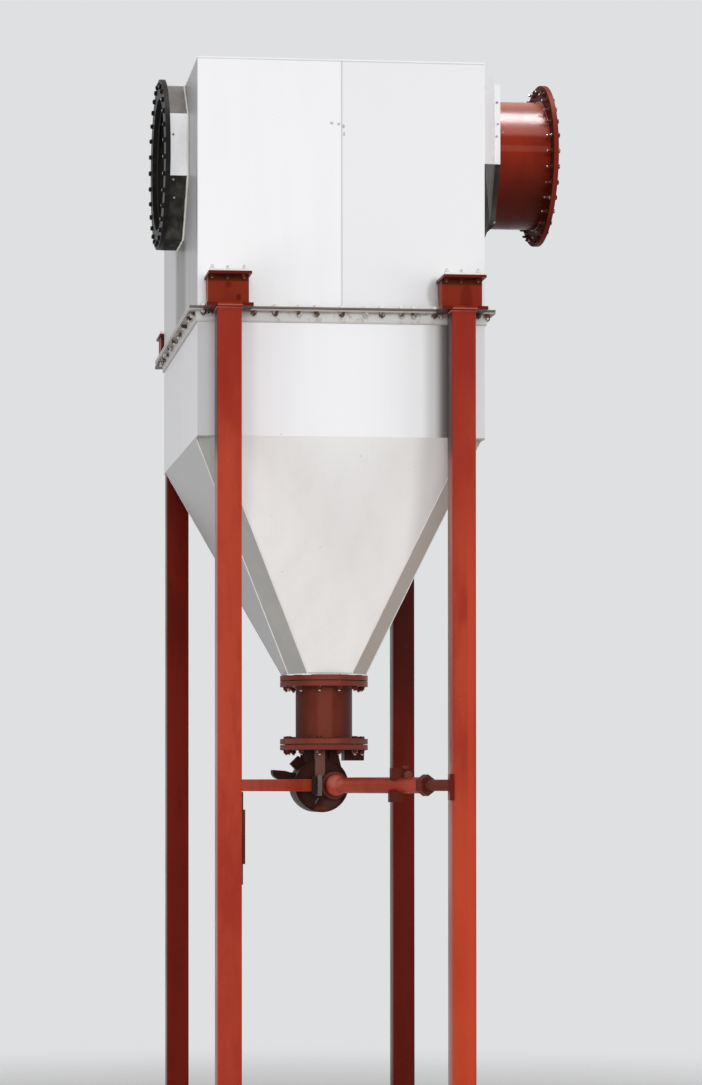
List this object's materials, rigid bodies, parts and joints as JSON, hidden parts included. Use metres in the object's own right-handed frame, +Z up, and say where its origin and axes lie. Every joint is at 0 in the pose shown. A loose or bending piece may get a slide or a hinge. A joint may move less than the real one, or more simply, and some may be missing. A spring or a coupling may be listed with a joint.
{
  "type": "hopper-bottomed cyclone separator on four legs",
  "caption": "White sheet-steel cyclone separator with hopper bottom, round side inlet and outlet, discharge valve and four red tube legs.",
  "frame": {"origin": "On the floor, midway between the two duct faces and at mid depth", "axes": "+X towards the outlet, -Y towards the front, +Z up"},
  "size_m": [1.504, 1.666, 4.2779],
  "materials": {
    "white_paint": "satin white paint on sheet steel",
    "red_paint": "red oxide gloss paint",
    "dark_red_paint": "dark red-brown paint",
    "bare_steel": "weathered zinc-grey steel",
    "black_paint": "black gloss paint",
    "gasket": "dark sealing sheet"
  },
  "bodies": {
    "root": {"front_wall": "white_paint", "back_wall": "white_paint", "left_wall": "white_paint", "right_wall": "white_paint", "roof": "white_paint", "housing_flange": "white_paint", "split_gasket": "gasket", "hopper_flange": "white_paint", "skirt_front": "white_paint", "skirt_back": "white_paint", "skirt_left": "white_paint", "skirt_right": "white_paint", "hopper_front": "white_paint", "hopper_back": "white_paint", "hopper_left": "white_paint", "hopper_right": "white_paint", "hopper_corner_fl": "white_paint", "hopper_corner_fr": "white_paint", "hopper_corner_bl": "white_paint", "hopper_corner_br": "white_paint", "throat_flange": "dark_red_paint", "spool": "dark_red_paint", "spool_flanges": "dark_red_paint", "spool_gaskets": "gasket", "valve_neck": "dark_red_paint", "valve_drum": "dark_red_paint", "valve_cover": "dark_red_paint", "valve_paddle": "dark_red_paint", "valve_plate": "dark_red_paint", "stay_bar": "red_paint", "purge_pipe": "red_paint", "pipe_clamp": "dark_red_paint", "pipe_union": "dark_red_paint", "end_pipe": "red_paint", "inlet_collar": "bare_steel", "inlet_flange": "black_paint", "outlet_hood": "bare_steel", "outlet_rim": "bare_steel", "outlet_stub": "red_paint", "outlet_flange": "red_paint", "leg_fl": "red_paint", "leg_fr": "red_paint", "leg_bl": "red_paint", "leg_br": "red_paint", "leg_heads": "red_paint", "foot_plates": "white_paint", "leg_cleat": "dark_red_paint"}
  },
  "joints": []
}
